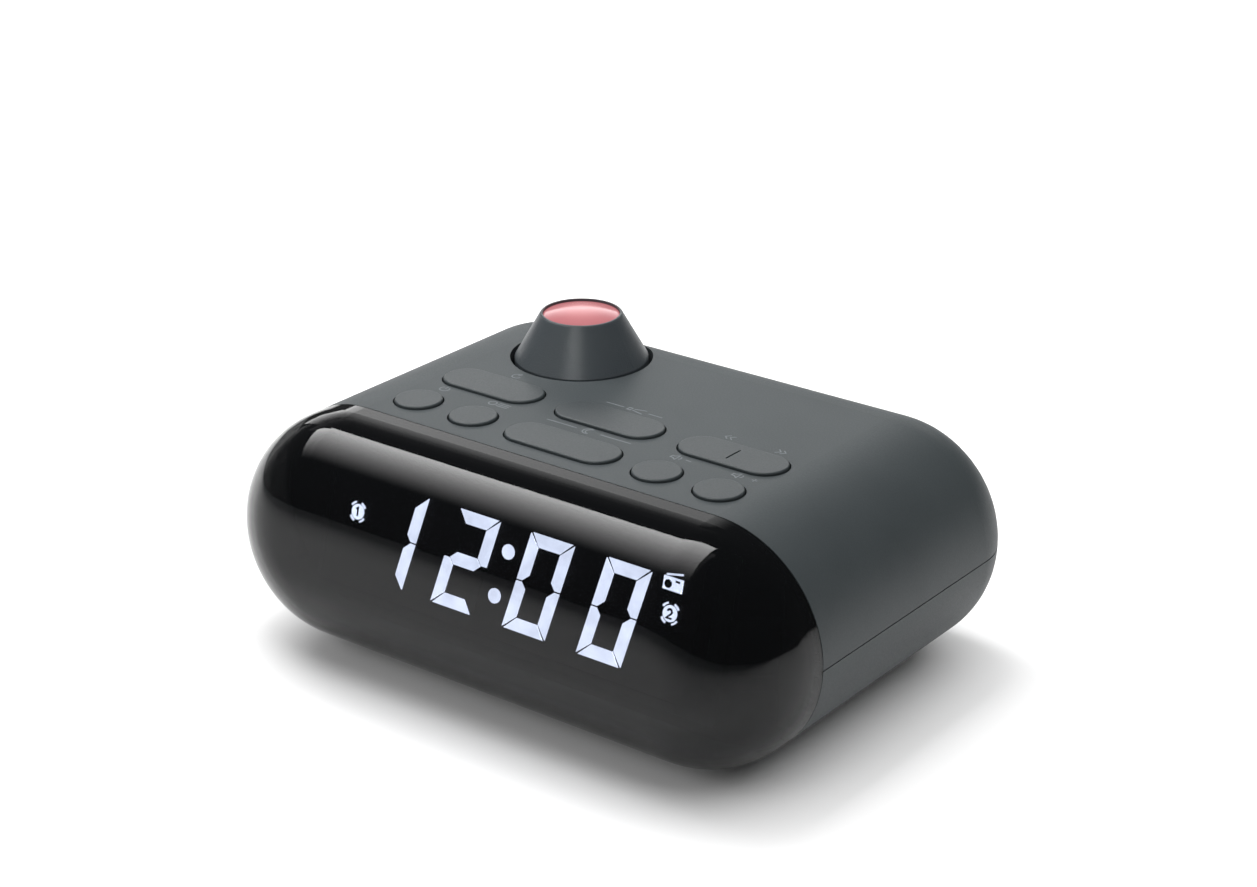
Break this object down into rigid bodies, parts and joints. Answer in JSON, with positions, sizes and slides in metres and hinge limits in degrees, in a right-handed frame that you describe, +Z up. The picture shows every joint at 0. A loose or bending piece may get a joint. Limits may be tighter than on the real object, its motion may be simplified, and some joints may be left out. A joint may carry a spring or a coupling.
{
  "type": "projection clock radio",
  "caption": "Bedside clock radio with a wrap-round smoked display cover, top push buttons and a cone-shaped time projector that focuses by turning.",
  "frame": {"origin": "middle of the footprint, on the surface that the rubber feet stand on", "axes": "+X to the right along the casing, front face towards -Y, +Z up"},
  "size_m": [0.173, 0.125, 0.0773],
  "materials": {
    "casing_soft_touch": "soft-touch matt dark grey",
    "smoked_cover": "smoked see-through gloss",
    "foot_rubber": "matt black",
    "screw_steel": "zinc plated",
    "button_plastic": "matt dark grey",
    "plunger_plastic": "natural acetal",
    "switch_body": "black",
    "circuit_board": "green solder mask",
    "cone_plastic": "fine matt dark grey",
    "lens_acrylic": "polished clear",
    "optics_black": "matt black",
    "numeral_film": "printed film",
    "led_red": "clear dome",
    "display_black": "black reflector face",
    "display_lit": "lit white diffuser",
    "display_dark": "unlit diffuser",
    "chip_black": "moulded epoxy",
    "can_metal": "plated can",
    "foam_black": "closed-cell foam",
    "speaker_steel": "zinc-plated pressed steel",
    "speaker_paper": "black paper cone",
    "magnet_ferrite": "sintered ferrite",
    "door_plastic": "matt dark grey",
    "jack_black": "black moulded",
    "nut_brass": "nickel-free brass",
    "ribbon_grey": "grey insulation"
  },
  "bodies": {
    "casing": {"antenna_grommet": "foot_rubber", "battery_contact": "can_metal", "battery_door": "door_plastic", "battery_door_screw": "screw_steel", "bottom_shell": "casing_soft_touch", "button_board": "circuit_board", "button_board_screws": "screw_steel", "button_ribbon": "ribbon_grey", "capacitors": "can_metal", "case_screws": "screw_steel", "clock_chip": "chip_black", "coin_cell": "can_metal", "condenser_lens": "lens_acrylic", "dc_jack": "jack_black", "dc_jack_nut": "nut_brass", "display_board": "circuit_board", "display_board_screws": "screw_steel", "display_digits_dark": "display_dark", "display_digits_lit": "display_lit", "display_module": "display_black", "display_ribbon": "ribbon_grey", "front_cover": "smoked_cover", "main_board": "circuit_board", "main_board_screws": "screw_steel", "numeral_slide": "numeral_film", "projector_board": "circuit_board", "projector_led": "led_red", "projector_tube": "optics_black", "radio_chip": "chip_black", "rubber_feet": "foot_rubber", "speaker_cone": "speaker_paper", "speaker_frame": "speaker_steel", "speaker_gasket": "foam_black", "speaker_magnet": "magnet_ferrite", "tact_switches": "switch_body", "top_shell": "casing_soft_touch", "tuning_crystal": "can_metal"},
    "power_key": {"power_button": "button_plastic", "power_plunger": "plunger_plastic"},
    "memory_key": {"memory_button": "button_plastic", "memory_plunger": "plunger_plastic"},
    "volume_down_key": {"volume_down_button": "button_plastic", "volume_down_plunger": "plunger_plastic"},
    "volume_up_key": {"volume_up_button": "button_plastic", "volume_up_plunger": "plunger_plastic"},
    "snooze_key": {"snooze_button": "button_plastic", "snooze_plunger": "plunger_plastic"},
    "rotate_key": {"rotate_button": "button_plastic", "rotate_plunger": "plunger_plastic"},
    "projection_key": {"projection_button": "button_plastic", "projection_plunger": "plunger_plastic"},
    "rocker_key": {"hour_minute_rocker": "button_plastic"},
    "focus_ring": {"focus_cone": "cone_plastic"},
    "lens_slider": {"lens_carrier": "optics_black", "projector_lens": "lens_acrylic"}
  },
  "joints": [
    {"name": "power_press", "type": "slide", "parent": "casing", "child": "power_key", "axis": [0, 0, -1], "range_m": [0, 0.0006], "stiffness_N_per_m": 800, "springref_m": -0.0006},
    {"name": "memory_press", "type": "slide", "parent": "casing", "child": "memory_key", "axis": [0, 0, -1], "range_m": [0, 0.0006], "stiffness_N_per_m": 800, "springref_m": -0.0006},
    {"name": "volume_down_press", "type": "slide", "parent": "casing", "child": "volume_down_key", "axis": [0, 0, -1], "range_m": [0, 0.0006], "stiffness_N_per_m": 800, "springref_m": -0.0006},
    {"name": "volume_up_press", "type": "slide", "parent": "casing", "child": "volume_up_key", "axis": [0, 0, -1], "range_m": [0, 0.0006], "stiffness_N_per_m": 800, "springref_m": -0.0006},
    {"name": "snooze_press", "type": "slide", "parent": "casing", "child": "snooze_key", "axis": [0, 0, -1], "range_m": [0, 0.0006], "stiffness_N_per_m": 800, "springref_m": -0.0006},
    {"name": "rotate_press", "type": "slide", "parent": "casing", "child": "rotate_key", "axis": [0, 0, -1], "range_m": [0, 0.0006], "stiffness_N_per_m": 800, "springref_m": -0.0006},
    {"name": "projection_press", "type": "slide", "parent": "casing", "child": "projection_key", "axis": [0, 0, -1], "range_m": [0, 0.0006], "stiffness_N_per_m": 800, "springref_m": -0.0006},
    {"name": "rocker_rock", "type": "hinge", "parent": "casing", "child": "rocker_key", "pos_m": [0.0385, -0.0025, 0.0594], "axis": [0, 1, 0], "range_deg": [-2, 2], "stiffness_Nm_per_rad": 0.25},
    {"name": "focus_turn", "type": "hinge", "parent": "casing", "child": "focus_ring", "pos_m": [-0.0344, 0.0296, 0.064], "axis": [0, 0, 1], "range_deg": [-60, 60]},
    {"name": "lens_slide", "type": "slide", "parent": "casing", "child": "lens_slider", "axis": [0, 0, 1], "range_m": [-0.001, 0.001]}
  ],
  "couplings": [
    {"joint": "lens_slide", "follows": "focus_turn", "m_per_rad": 0.00095483}
  ]
}
